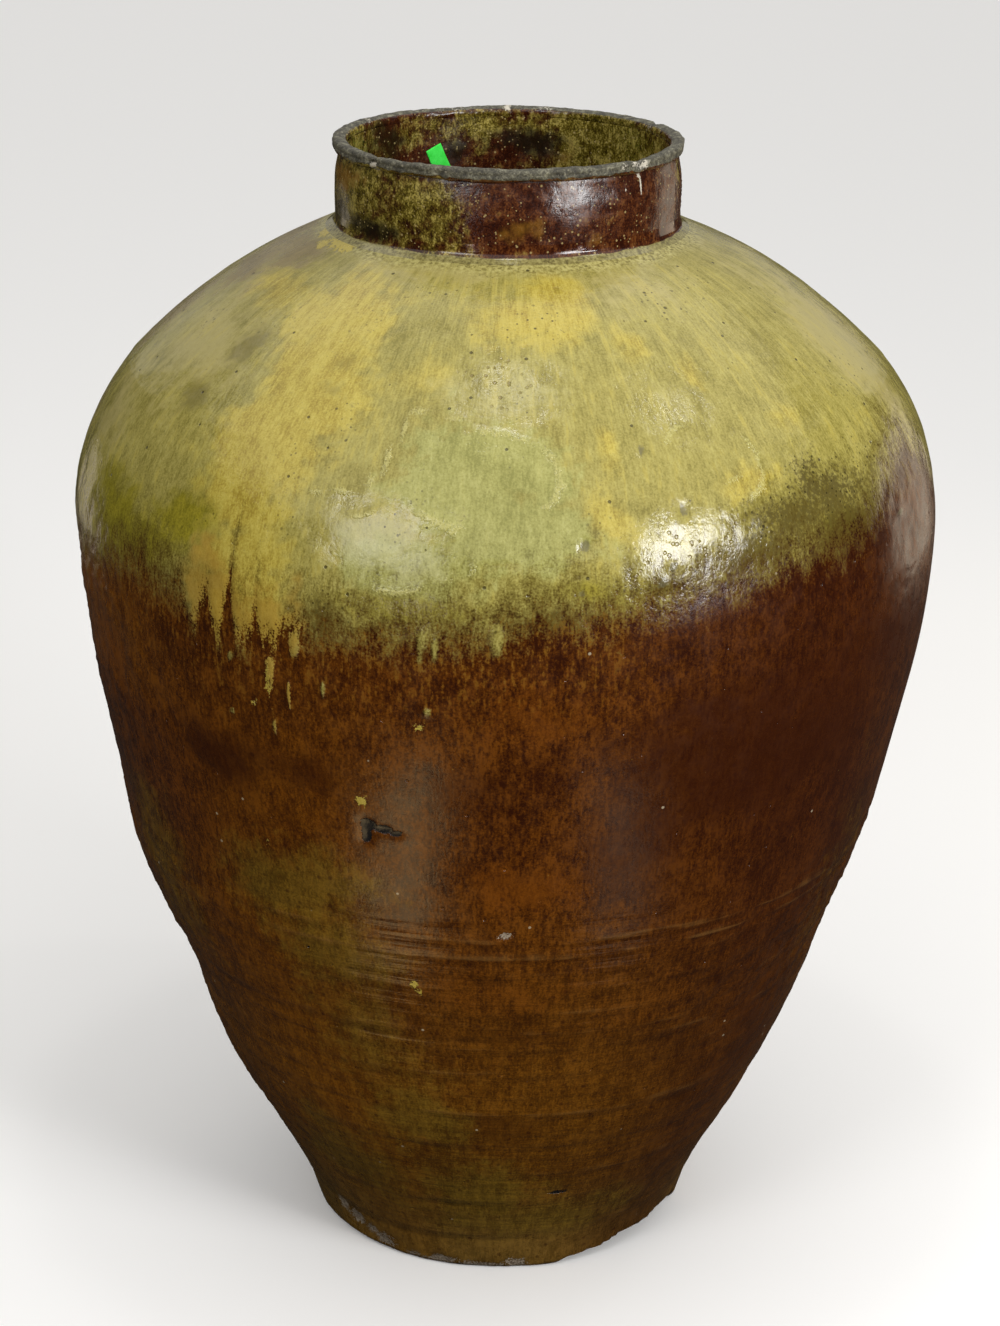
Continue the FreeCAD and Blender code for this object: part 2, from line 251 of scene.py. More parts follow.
def soft_outline(corners, spacing):
    """Points at about that spacing along straight runs, with each corner rounded by its arc."""
    spots = np.array([corner[:2] for corner in corners])
    points = [spots[:1]]
    for start, end in zip(spots, spots[1:]):
        count = max(2, round(np.linalg.norm(end - start) / spacing))
        points.append(start + (end - start) * np.linspace(0, 1, count + 1)[1:, None])
    points = np.concatenate(points)
    for before, (radius, height, blend), after in zip(spots, corners[1:], spots[2:]):
        corner = np.array((radius, height))
        back = (before - corner) / np.linalg.norm(before - corner)
        on = (after - corner) / np.linalg.norm(after - corner)
        half_opening = math.acos(np.clip(back @ on, -1, 1)) / 2
        towards = (back + on) / np.linalg.norm(back + on)
        centre = corner + towards * blend / math.sin(half_opening)
        near = np.linalg.norm(points - corner, axis=1) < blend / math.tan(half_opening)
        rays = points[near] - centre
        points[near] = centre + rays * (blend / np.linalg.norm(rays, axis=1))[:, None]
    return points


SKIN = soft_outline(OUTLINE, ROW)
SKIN_ALONG = np.gradient(SKIN, axis=0)
SKIN_ALONG /= np.linalg.norm(SKIN_ALONG, axis=1)[:, None]
INSIDE = SKIN + np.stack((-SKIN_ALONG[:, 1], SKIN_ALONG[:, 0]), axis=1) * WALL


def skin_radius(height):
    """Radius of the round outer outline at a height."""
    return np.interp(height, SKIN[:, 1], SKIN[:, 0])


def outer(height):
    """The point of the outer outline at a height."""
    return skin_radius(height), height


def inner_seam(level):
    """Where a seam that falls to the inside reaches the inner wall."""
    drops = level - (skin_radius(level) - INSIDE[:, 0]) * math.tan(SEAM_BEVEL)
    over = np.argmax(INSIDE[:, 1] > drops)
    return INSIDE[over]


def stretch(points, low, high, spacing):
    """The part of an outline between two points, at about that spacing."""
    inside = points[(points[:, 1] > low[1] + spacing / 3) & (points[:, 1] < high[1] - spacing / 3)]
    every = max(1, round(spacing / ROW))
    return [tuple(low)] + [tuple(p) for p in inside[::every]] + [tuple(high)]


def wall_outline(low, high):
    """Closed outline of a wall section between two seams."""
    outside = stretch(SKIN, outer(low + SEAM_ROW), outer(high - SEAM_ROW), ROW)
    inside = stretch(INSIDE, inner_seam(low), inner_seam(high), INSIDE_ROW)
    return [outer(low), *outside, outer(high)] + inside[::-1]


def turned(name, outline, closed=True):
    """An outline of (radius, height) swept once about the axis, as a new piece."""
    bm = bmesh.new()
    corners = [bm.verts.new((radius * MM, 0, height * MM)) for radius, height in outline]
    ends = corners[1:] + corners[:1] if closed else corners[1:]
    edges = [bm.edges.new(pair) for pair in zip(corners, ends)]
    turn = {"axis": (0, 0, 1), "angle": math.tau, "steps": SPIN_STEPS, "use_merge": True}
    bmesh.ops.spin(bm, geom=corners + edges, cent=(0, 0, 0), **turn)
    bmesh.ops.remove_doubles(bm, verts=bm.verts, dist=1e-6)
    chords = [edge for edge in bm.edges if is_chord(*edge.verts)]
    bmesh.ops.subdivide_edges(bm, edges=chords, cuts=SPIN_CUTS, use_grid_fill=True)
    for vert in bm.verts:
        off_middle = math.atan2(vert.co.y, vert.co.x) % (2 * SPIN_HALF) - SPIN_HALF
        rounder = math.cos(off_middle) / math.cos(SPIN_HALF)
        vert.co.x *= rounder
        vert.co.y *= rounder
    return piece_from(bm, name)


def is_chord(a, b):
    """Whether an edge runs round the axis, from one step of a spin to the next."""
    level = abs(a.co.z - b.co.z) < 1e-7
    return level and abs(a.co.xy.length - b.co.xy.length) < 1e-7 and a.co.xy.length > 1e-7


def piece_from(bm, name):
    """A new object from a bmesh, merged, facing outwards and smooth."""
    bmesh.ops.remove_doubles(bm, verts=bm.verts, dist=1e-6)
    bmesh.ops.recalc_face_normals(bm, faces=bm.faces)
    for face in bm.faces:
        face.smooth = True
    mesh = bpy.data.meshes.new(name)
    bm.to_mesh(mesh)
    bm.free()
    return placed(name, mesh)


def placed(name, data):
    """A new object in the scene."""
    made = bpy.data.objects.new(name, data)
    bpy.context.scene.collection.objects.link(made)
    return made


def strength(spot):
    """A spot's strength, which is 1 unless it's given."""
    return spot[4] if len(spot) > 4 else 1.0


class Skin:
    """Where each vertex of a piece lies, to shape and to paint it by."""

    def __init__(self, piece):
        self.mesh = piece.data
        flat = np.empty(3 * len(self.mesh.vertices))
        self.mesh.vertices.foreach_get("co", flat)
        self.spots = flat.reshape(-1, 3) / MM
        x, y, self.height = self.spots.T
        self.radius = np.hypot(x, y)
        self.azimuth = np.degrees(np.arctan2(x, -y))
        self.stray_across = self.stray(31)
        self.stray_along = self.stray(41)

    def noise(self, size, seed, squash=(1, 1, 1)):
        """Smooth noise between about -1 and 1, whose lumps have that size."""
        shift = Vector((seed * 17.3, seed * 5.7, seed * 11.9))
        scaled = self.spots * np.array(squash) / size
        return np.array([noise.noise(Vector(spot) + shift) for spot in scaled])

    def stray(self, seed):
        """How far the outline of a spot strays, as a share of the spot's size."""
        wide, narrow, fine = self.noise(34, seed), self.noise(12, seed + 1), self.noise(4.5, seed + 2)
        return 0.45 * wide + 0.25 * narrow + 0.3 * fine

    def offset(self, spot):
        """How far each vertex is from a spot's middle, across and along, in half sizes of the spot."""
        azimuth, height, half_width, half_height = spot[:4]
        aside = (self.azimuth - azimuth + 180) % 360 - 180
        across = np.radians(aside) * np.maximum(self.radius, 1.0) / half_width
        return across, (self.height - height) / half_height

    def reach(self, spot):
        """The same as one distance, for an outline that strays as a run of glaze does."""
        across, along = self.offset(spot)
        return np.hypot(across + self.stray_across, along + self.stray_along)

    def lobes(self, spots):
        """Soft lobes as high as the spots' strengths. The highest counts where they overlap."""
        return np.max([strength(spot) * np.exp(-self.reach(spot) ** 2) for spot in spots], axis=0)

    def dents(self, spots):
        """Soft lobes added up, where a strength may be negative."""
        return sum(spot[4] * np.exp(-self.reach(spot) ** 2) for spot in spots)

    def paint(self, **zones):
        """Keeps one number for each vertex and zone, for the finish to read."""
        for name, values in zones.items():
            painted = self.mesh.attributes.new(name, "FLOAT", "POINT")
            painted.data.foreach_set("value", values.astype(np.float32))

    def paint_spots(self, zones):
        """Paints each zone with the lobes of its spots."""
        self.paint(**{name: self.lobes(spots) for name, spots in zones.items()})

    def move(self, outwards, upwards=0.0, aside=0.0):
        """Moves each vertex away from the axis, up, and to the viewer's right."""
        share = (self.radius + outwards) / np.maximum(self.radius, 1e-6)
        moved = self.spots * np.stack((share, share, np.ones_like(share)), axis=1)
        moved[:, 2] += upwards
        moved[:, 0] += aside
        self.mesh.vertices.foreach_set("co", (moved * MM).ravel())
        self.mesh.set_sharp_from_angle(angle=SHARP)
        self.mesh.update()


def ramp(low, high, values):
    """0 below low, 1 above high, and a soft rise between. Low may be the larger."""
    share = np.clip((values - low) / (high - low), 0, 1)
    return share * share * (3 - 2 * share)


def over_ash_edge(skin):
    """How far each vertex lies above the ash glaze's lower end, in millimetres. Drips count as above."""
    azimuths, heights = np.array(ASH_EDGE, float).T
    above = skin.height - np.interp(skin.azimuth, azimuths, heights, period=360)
    for drip in ZONES["drip"]:
        above = np.maximum(above, DRIP_RISE * (1 - skin.reach(drip) ** 2))
    return above


def ring_marks(skin):
    """Finger rings and the ridges at the seam, in millimetres outwards."""
    marks = np.zeros(len(skin.spots))
    turn = np.radians(skin.azimuth)
    for i, height in enumerate(RINGS):
        sway = RING_SWAY * np.sin(turn + 1.9 * i) + RING_RIPPLE * np.sin(3 * turn + i)
        climb = skin.height - height - sway
        press = 0.6 + 0.5 * np.sin(2 * turn + 2.7 * i) * np.sin(turn + i)
        groove = np.exp(-(climb / RING_WIDTH) ** 2) - 0.7 * np.exp(-((climb - 7) / RING_WIDTH) ** 2)
        marks -= RING_DEPTH * press * groove
    for i, height in enumerate(SEAM_RIDGES):
        climb = skin.height - height - 5 * (1 - np.cos(turn)) - 1.5 * np.sin(2 * turn + 2 * i)
        fade = 0.25 + 0.75 * np.clip(np.cos(turn - 0.25), 0, 1) ** 3
        ridge = np.exp(-(climb / 3.0) ** 2) - 0.6 * np.exp(-((climb + 5.5) / 3.5) ** 2)
        marks += SEAM_RIDGE_HEIGHT * fade * ridge
    broken = ramp(-0.3, 0.3, skin.noise(48, 51, (1, 1, 2.5)) + 0.4 * skin.noise(14, 52))
    return marks * (0.2 + broken)


def patch_rim(skin):
    """The standing edges of the thick patches of glaze, 0 to 1, broken here and there."""
    whole = ramp(-0.15, 0.25, skin.noise(30, 5))
    edges = np.zeros(len(skin.spots))
    for patch in PATCHES:
        off = np.hypot(*skin.offset(patch)) + 0.2 * skin.stray_across
        edge = np.exp(-((off - 1) * patch[3] / PATCH_RIM_WIDTH) ** 2)
        edges = np.maximum(edges, strength(patch) * edge)
    return np.maximum(edges * whole, skin.lobes(CRAWL))


def foot_break(skin):
    """How deep the foot's edge is broken away, in millimetres."""
    rise = ramp(BREAK_FROM, BREAK_FROM + 14, skin.azimuth)
    fall = 1 - ramp(BREAK_TO - 16, BREAK_TO, skin.azimuth)
    height = BREAK_HEIGHT * (0.45 + 0.7 * ramp(20, 65, skin.azimuth) + 0.25 * skin.noise(22, 8))
    return BREAK_DEPTH * rise * fall * np.clip(1 - skin.height / height, 0, 1) ** 0.8


def paint_body(skin):
    """Paints the zones of the body's glaze, with painted light on the left and towards the foot and painted
    shade at the right.
    """
    azimuth, height = skin.azimuth, skin.height
    # Painted light on the left of the body, and far round to the left high on the belly, where the brown
    # gets too little light
    left = ramp(-8, -26, azimuth) * ramp(-58, -30, azimuth)
    left = left * (1.05 - 0.75 * ramp(390, 500, height))
    far_left = ramp(-40, -60, azimuth) * ramp(-115, -85, azimuth)
    under_ash = 1.3 * far_left * ramp(420, 450, height)
    # Painted shade: darker brown at the right of the body, less of it towards the right edge
    right = ramp(4, 45, azimuth) * ramp(170, 110, azimuth)
    lit_edge = 0.55 * ramp(48, 76, azimuth)
    skin.paint_spots(ZONES)
    skin.paint(
        by_neck=ramp(-13, -2, height - NECK_SEAM),
        # Paler brown towards the foot: thinner glaze, and painted light for the light that the lower body
        # lacks
        thin_brown=ramp(400, 90, height),
        foot=ramp(110, 15, height),
        thrown=ramp(345, 305, height) * ramp(8, 40, height),
        warm_side=left + under_ash,
        dim_side=right * (1 - lit_edge),
    )


def shape_body(piece):
    """Gives a turned section its thrown wall and its skin of glaze."""
    skin = Skin(piece)
    height = skin.height
    at_worn_edge = (height < WORN_EDGE) & (skin.radius > UNDERSIDE_RADIUS + 1)
    worn = np.where(at_worn_edge, WORN_EDGE, 0.0)
    on_skin = (skin.radius > skin_radius(height) - worn - 0.05) & (height < NECK_SEAM + 0.01)
    ash = over_ash_edge(skin)
    rings = ring_marks(skin)
    rim = patch_rim(skin)
    chips, black = skin.lobes(BARE_CHIP), skin.lobes(BLACK_CHIP)
    pits, pimples = skin.lobes(PITS), skin.lobes(PIMPLES)
    broken = foot_break(skin)

    below_neck = ramp(NECK_SEAM, NECK_SEAM - PLAIN_BY_NECK, height)
    glaze = ASH_THICKNESS * ramp(-6, 14, ash)
    glaze += ASH_RIPPLE * skin.noise(13, 6) * ramp(0, 20, ash)
    waves = WIDE_WAVE * skin.noise(75, 1) + NARROW_WAVE * skin.noise(34, 2, (1, 1, 0.7))
    thrown = skin.dents(DENTS) + rings + waves
    marks = PATCH_RIM_HEIGHT * rim + PIMPLE_HEIGHT * pimples - PIT_DEPTH * pits
    marks -= CHIP_DEPTH * chips + BLACK_CHIP_DEPTH * black
    out = on_skin * below_neck * (thrown + glaze + marks)
    foot = on_skin * (height < FOOT_HEIGHT)
    out -= foot * broken
    crumbled = ramp(30, 4, height) * (height > WORN_EDGE)
    out += foot * FOOT_CRUMBLE * skin.noise(16, 9) * crumbled

    paint_body(skin)
    skin.paint(
        ash=ash, bare=chips, black=black, rim=rim, ring=rings, glazed=on_skin.astype(float),
        broken=ramp(0.4, 3.0, broken), pit=np.maximum(pits, pimples),
    )
    slope = np.interp(height, SKIN[:, 1], SKIN_ALONG[:, 0])
    level = np.sqrt(1 - slope ** 2)
    lean = SHOULDER_LEAN * ramp(470, 600, height) * below_neck * on_skin
    skin.move(out * level, -out * slope, lean)


def base_outline():
    """Half outline of the base disc, from the axis to the axis."""
    foot = skin_radius(0.0)
    worn = []
    for angle in np.linspace(-math.pi / 2, 0, 5):
        reach = WORN_EDGE * (math.cos(angle) - 1)
        height = WORN_EDGE * (math.sin(angle) + 1)
        worn.append((skin_radius(height) + reach, height))
    under = [(radius, 0.0) for radius in np.linspace(0.0, UNDERSIDE_RADIUS, 4)]
    side = [outer(height) for height in np.arange(WORN_EDGE + 2, BASE_TOP - 1, 2.0)]
    over = [outer(BASE_TOP - SEAM_ROW), outer(BASE_TOP)]
    top = [(radius, BASE_TOP) for radius in (foot - WALL, 90.0, 45.0, 0.0)]
    return under + worn + side + over + top


def lower_outline():
    """Closed outline of the lower wall, which stands on the flat top of the base disc."""
    outline = wall_outline(BASE_TOP, LOWER_SEAM)
    foot = np.interp(BASE_TOP, INSIDE[:, 1], INSIDE[:, 0])
    kept = [(radius, height) for radius, height in outline if height >= BASE_TOP and radius > foot - 0.01]
    return kept + [(foot, BASE_TOP)]


def shoulder_outline():
    """Closed outline of the shoulder, up to the seam under the neck."""
    top = (NECK_ROOT_RADIUS, NECK_SEAM)
    outside = [outer(BELLY_SEAM)] + stretch(SKIN, outer(BELLY_SEAM + SEAM_ROW), top, ROW)
    wall = INSIDE[INSIDE[:, 0] > MOUTH_RADIUS]
    foot_of_bore = (MOUTH_RADIUS, wall[-1, 1])
    inside = stretch(wall, inner_seam(BELLY_SEAM), foot_of_bore, INSIDE_ROW)
    return outside + [(MOUTH_RADIUS, BORE_FOOT)] + inside[::-1]


def neck_radius(height):
    """Outer radius of the neck: a slight swell, and a hollow under the lip."""
    share = (height - NECK_SEAM) / (NECK_TOP - NECK_SEAM)
    straight = NECK_ROOT_RADIUS + (NECK_TOP_RADIUS - NECK_ROOT_RADIUS) * share
    swell = NECK_SWELL * math.sin(math.pi * share)
    return straight + swell - UNDER_LIP_HOLLOW * ramp(0.6, 0.95, share)


def lip_underside(radius):
    """Height of the lip's lower face at a radius."""
    return LIP_LEVEL - math.sqrt(LIP_SECTION ** 2 - (radius - LIP_RADIUS) ** 2)


def neck_outline():
    """Closed outline of the neck, whose top edge is hollowed to the lip."""
    edge = NECK_TOP_RADIUS - UNDER_LIP_HOLLOW
    levels = np.arange(NECK_SEAM, lip_underside(edge) - 0.8, NECK_ROW)
    outside = [(neck_radius(height), height) for height in levels]
    inner_edge = LIP_RADIUS - math.sqrt(LIP_SECTION ** 2 - (LIP_LEVEL - NECK_TOP) ** 2)
    seat = [(radius, lip_underside(radius)) for radius in np.linspace(edge, inner_edge, 6)]
    bore = [(MOUTH_RADIUS, height) for height in np.linspace(NECK_TOP, BORE_FOOT, 32)]
    return outside + seat + bore


def cove_outline():
    """Closed outline of the coil at the foot of the neck, thumbed into the corner."""
    up_neck = (neck_radius(NECK_SEAM + COVE_SIZE), NECK_SEAM + COVE_SIZE)
    from_root = np.hypot(SKIN[:, 0] - NECK_ROOT_RADIUS, SKIN[:, 1] - NECK_SEAM)
    on_shoulder = SKIN[np.argmin(abs(from_root - COVE_SIZE))]
    corner = (NECK_ROOT_RADIUS + COVE_THICKNESS, NECK_SEAM + COVE_THICKNESS)
    face = soft_outline([(*up_neck, 0.0), (*corner, COVE_BLEND), (*on_shoulder, 0.0)], COVE_ROW)
    return [tuple(spot) for spot in face] + [(NECK_ROOT_RADIUS - 0.2, NECK_SEAM)]


# Chips and nicks of the lip, and zones of the neck's glaze
LIP_CHIPS = [
    (-48.5, 753.5, 4.5, 6, 1.2), (-47, 751, 4, 4), (48, 755, 7, 4), (44, 757, 5, 2, 0.9),
    (40, 756, 4, 3, 0.6), (-158, 760, 16, 6, 0.55), (180, 760, 4, 5, 0.9), (118, 757, 4, 6, 0.8),
    (165, 761, 10, 4, 0.6), (-120, 758, 9, 4, 0.6), (85, 756, 6, 4, 0.5), (-90, 757, 6, 4, 0.5),
]
LIP_SQUARE = 0.9
LIP_WEAR = 0.35
LIP_TOP_WEAR = 0.9
LIP_NICKS = [
    (-49, 757, 5, 8, 1.6), (48, 757, 7, 5, 1.4), (10, 752, 26, 4, 0.8), (-28, 753, 14, 4, 0.7),
    (118, 758, 5, 8, 1.5), (-158, 760, 18, 6, 0.9), (75, 752, 20, 4, 0.7), (150, 752, 20, 4, 0.8),
]
NECK_ZONES = {
    "olive": [
        (-60, 735, 70, 44, 1.2), (-30, 722, 30, 30), (-85, 725, 60, 44, 1.1), (135, 735, 70, 44, 1.2),
        (110, 725, 50, 44), (-175, 748, 70, 14), (-140, 745, 30, 12, 0.7), (-110, 720, 40, 30, 0.8),
        (160, 712, 40, 20, 0.7),
    ],
    "dark": [
        (-48, 712, 26, 10), (-70, 716, 26, 16, 0.8), (-160, 730, 16, 14, 0.8), (173, 735, 26, 14),
        (-125, 740, 30, 16, 0.8),
    ],
    "amber": [
        (-72, 739, 40, 14, 1.1), (-62, 738, 16, 10, 0.7), (-84, 718, 20, 10, 0.6), (4, 723, 22, 9),
        (-16, 717, 16, 8, 0.6), (28, 713, 18, 7, 0.6), (60, 722, 12, 12, 0.5), (105, 738, 18, 8, 0.8),
        (160, 728, 20, 10, 0.6),
    ],
    "white": [(48, 743, 0.9, 7), (47.4, 749, 1.6, 2.0, 0.8), (41, 742, 1.0, 1.6, 0.8)],
}


def shape_neck(piece, thumbed=0.0):
    """Uneven thrown neck. A thumbed corner is smooth and looks wet."""
    skin = Skin(piece)
    outside = skin.radius > MOUTH_RADIUS + 4
    low = ramp(NECK_SEAM, NECK_SEAM + 12, skin.height)
    high = ramp(LIP_LEVEL, LIP_LEVEL - 8, skin.height)
    lumps = 0.5 * skin.noise(40, 11) + 0.30 * skin.noise(14, 12) + 0.14 * skin.noise(6, 13)
    skin.paint_spots(NECK_ZONES)
    ledge = skin.radius - NECK_ROOT_RADIUS + 0.6 * skin.noise(9, 14)
    ash_ring = ramp(1.0, 3.0, ledge) * ramp(NECK_SEAM + 5, NECK_SEAM + 2, skin.height)
    skin.paint(ash_ring=ash_ring, thumbed=np.full(len(skin.spots), thumbed))
    skin.move(np.where(outside, lumps * low * high, 0.4 * lumps * high))


def shape_lip(piece):
    """A worn, crusty roll with nicks and chips, glazed inside and underneath."""
    skin = Skin(piece)
    chips = skin.lobes(LIP_CHIPS)
    nicks = skin.lobes(LIP_NICKS)
    out = skin.radius - LIP_RADIUS
    up = skin.height - LIP_LEVEL
    crust = 0.35 * skin.noise(9, 22) + 0.30 * skin.noise(4, 23) + 0.16 * skin.noise(2, 24)
    worn = 0.45 * skin.noise(30, 21) + 1.3 * crust - nicks - LIP_WEAR
    corner = np.clip(out, 0, None) * abs(up) * 2 / LIP_SECTION ** 2
    worn += LIP_SQUARE * corner
    flat_top = -LIP_TOP_WEAR * ramp(2.0, 4.8, up)
    skin.paint_spots(NECK_ZONES)
    inner = ramp(0.0, -2.5, out + 0.8 * skin.noise(6, 25)) * ramp(4.0, 2.0, up)
    under = ramp(-1.4, -3.2, up + 2.2 * crust)
    skin.paint(chip=chips, glazed=np.maximum(inner, under))
    skin.move(worn * out / LIP_SECTION, worn * up / LIP_SECTION + flat_top)


# The paper label
LABEL_WIDTH = 12.0
LABEL_LENGTH = 22.0
LABEL_THICKNESS = 0.2
LABEL_PASTE = 0.2
LABEL_TILT = math.radians(24)
LABEL_CURL = 0.9


def paper_label():
    """A blank paper label bent to the neck's bore, with one corner lifting off."""
    low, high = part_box("price_label")
    middle = (low + high) / 2
    bm = bmesh.new()
    grid = bmesh.ops.create_grid(bm, x_segments=12, y_segments=22, size=0.5)
    bmesh.ops.scale(bm, vec=(LABEL_WIDTH, LABEL_LENGTH, 1), verts=grid["verts"])
    bmesh.ops.rotate(bm, cent=(0, 0, 0), matrix=Matrix.Rotation(LABEL_TILT, 3, "Z"), verts=grid["verts"])
    bmesh.ops.solidify(bm, geom=bm.faces[:], thickness=LABEL_THICKNESS)
    flats = np.array([vert.co for vert in bm.verts])
    for vert, (across, along, lift) in zip(bm.verts, flats - flats.min(axis=0) * (0, 0, 1)):
        loose = max(0.0, (-along - 5) / 6) ** 2 + max(0.0, (across - 5) / 3) ** 2
        radius = MOUTH_RADIUS - LABEL_PASTE - LABEL_THICKNESS + lift - LABEL_CURL * min(loose, 1.0)
        turn = math.atan2(middle.y, middle.x) - across / MOUTH_RADIUS
        place = (radius * math.cos(turn), radius * math.sin(turn), middle.z / MM + along)
        vert.co = Vector(place) * MM
    return piece_from(bm, "label_paper")


def colour(red, green, blue):
    """A colour as seen on a screen, 0 to 255, in the linear light that a finish needs."""
    shares = [channel / 255 for channel in (red, green, blue)]
    linear = [s / 12.92 if s < 0.0404 else ((s + 0.055) / 1.055) ** 2.4 for s in shares]
    return (*linear, 1.0)


class Term:
    """A number that varies over a surface. Sums on it add Math nodes to its finish."""

    def __init__(self, finish, socket):
        self.finish = finish
        self.socket = socket

    def maths(self, operation, *terms):
        inputs = dict(enumerate(terms))
        return self.finish.node("Math", {"operation": operation}, inputs)

    def __add__(self, other):
        return self.maths("ADD", self, other)

    def __sub__(self, other):
        return self.maths("SUBTRACT", self, other)

    def __rsub__(self, other):
        return self.maths("SUBTRACT", other, self)

    def __mul__(self, other):
        return self.maths("MULTIPLY", self, other)

    __radd__ = __add__
    __rmul__ = __mul__

    def most(self, other):
        return self.maths("MAXIMUM", self, other)

    def step(self, low, high):
        """0 below low, 1 above high, and a soft rise between. Low may be the larger."""
        ends = {"Value": self, "From Min": low, "From Max": high}
        return self.finish.node("MapRange", {"interpolation_type": "SMOOTHSTEP"}, ends)


# Radius of the drum that streaks are laid on, in metres
STREAK_RADIUS = 0.28


class Finish:
    """One material, made of nodes."""

    def __init__(self, name):
        self.material = bpy.data.materials.new(name)
        self.material.use_nodes = True
        self.tree = self.material.node_tree
        self.tree.nodes.clear()
        self.place = self.node("TexCoord", output="Object")

    def node(self, kind, settings=None, sockets=None, output=0):
        """A node of that kind: its settings first, then the values or links of its sockets."""
        made = self.tree.nodes.new("ShaderNode" + kind)
        for name, value in (settings or {}).items():
            setattr(made, name, value)
        for name, value in (sockets or {}).items():
            if isinstance(value, Term):
                self.tree.links.new(value.socket, made.inputs[name])
            else:
                made.inputs[name].default_value = value
        return Term(self, made.outputs[output])

    def zone(self, name):
        """What a piece's vertices were painted with."""
        return self.node("Attribute", {"attribute_name": name}, output="Fac")

    def noise(self, per_metre, detail=2.0, at=None, rough=0.5):
        """Noise from 0 to 1 whose lumps are about 1 / per_metre wide."""
        sockets = {"Vector": at or self.place, "Scale": per_metre, "Detail": detail, "Roughness": rough}
        return self.node("TexNoise", {}, sockets)

    def vector(self, operation, sockets):
        """A sum on places."""
        return self.node("VectorMath", {"operation": operation}, sockets)

    def streaked(self, along, around=1.0):
        """Places drawn out along the jar's height, to run a pattern down its wall."""
        level = self.vector("MULTIPLY", {0: self.place, 1: (1, 1, 0)})
        facing = self.vector("NORMALIZE", {0: level})
        ring = self.vector("SCALE", {0: facing, "Scale": STREAK_RADIUS * around})
        rise = self.vector("MULTIPLY", {0: self.place, 1: (0, 0, along)})
        return self.vector("ADD", {0: ring, 1: rise})

    def specks(self, per_metre, size, share):
        """Round specks of that size, as a share of their spacing, on that share of the places."""
        far = self.node("TexVoronoi", {}, {"Vector": self.place, "Scale": per_metre})
        chance = self.node("SeparateColor", {}, {0: Term(self, far.socket.node.outputs["Color"])})
        return far.step(size, size * 0.55) * chance.step(share + 0.01, share)

    def patch(self, zone, strays, low, high):
        """A painted zone, 0 to 1, whose edge strays."""
        return (self.zone(zone) + strays).step(low, high)

    def blend(self, under, over, share):
        """One colour over another. Each varies, or is red, green and blue as on a screen."""
        under, over = [tone if isinstance(tone, Term) else colour(*tone) for tone in (under, over)]
        return self.node("Mix", {"data_type": "RGBA"}, {0: share, 6: under, 7: over}, output=2)

    def layered(self, base, *layers):
        """Colours laid one over another, each on its share of the surface."""
        for over, share in layers:
            base = self.blend(base, over, share)
        return base

    def tones(self, share, places, *shades):
        """Shades along a ramp, at places from 0 to 1."""
        scale = self.node("ValToRGB", {}, {0: share})
        bar = scale.socket.node.color_ramp
        while len(bar.elements) < len(shades):
            bar.elements.new(0.5)
        for element, place, shade in zip(bar.elements, places, shades):
            element.position = place
            element.color = colour(*shade)
        return scale

    def close(self, base, rough, height, specular):
        """Joins the shader: its colour, its roughness, its relief in metres and its shine."""
        bump = self.node("Bump", {}, {"Strength": 1.0, "Distance": 1.0, "Height": height})
        sockets = {"Base Color": base, "Roughness": rough, "Normal": bump, "Specular IOR Level": specular}
        shader = self.node("BsdfPrincipled", {}, sockets)
        end = self.tree.nodes.new("ShaderNodeOutputMaterial")
        self.tree.links.new(shader.socket, end.inputs["Surface"])
        return self.material


def about_zero(*weighted):
    """Patterns from 0 to 1, moved to vary about zero, each by its weight, and added up."""
    first, *others = [(pattern - 0.5) * weight for pattern, weight in weighted]
    return sum(others, first)


class BodyFinish(Finish):
    """A finish with the patterns that the glazes of the body share."""

    def __init__(self, name):
        super().__init__(name)
        run = self.streaked(0.42)
        self.fine = fine = self.noise(560, 3, run)
        self.wide_run = wide_run = self.noise(130, 3, run)
        self.middle = middle = self.noise(70, 5, rough=0.62)
        self.broad = broad = self.noise(21, 3)
        self.grain = grain = self.noise(800, 1)
        self.drawn = self.noise(440, 3, self.streaked(0.27))
        self.speckle = self.noise(420, 3, rough=0.6)
        self.thrown_lines = self.noise(260, 3, self.streaked(1.0, 0.06))
        self.tone = fine * 0.24 + grain * 0.22 + wide_run * 0.2 + middle * 0.2 + broad * 0.14
        self.drift = about_zero((fine, 0.8), (grain, 0.6), (wide_run, 0.7), (middle, 0.5))
        self.wander = about_zero((middle, 1.2), (broad, 0.8), (wide_run, 0.6), (fine, 0.3))

    def shades(self, low, *colours):
        """Colours along the body's tone, evenly from that place to its mirror about the middle."""
        return self.tones(self.tone, np.linspace(low, 1 - low, len(colours)), *colours)


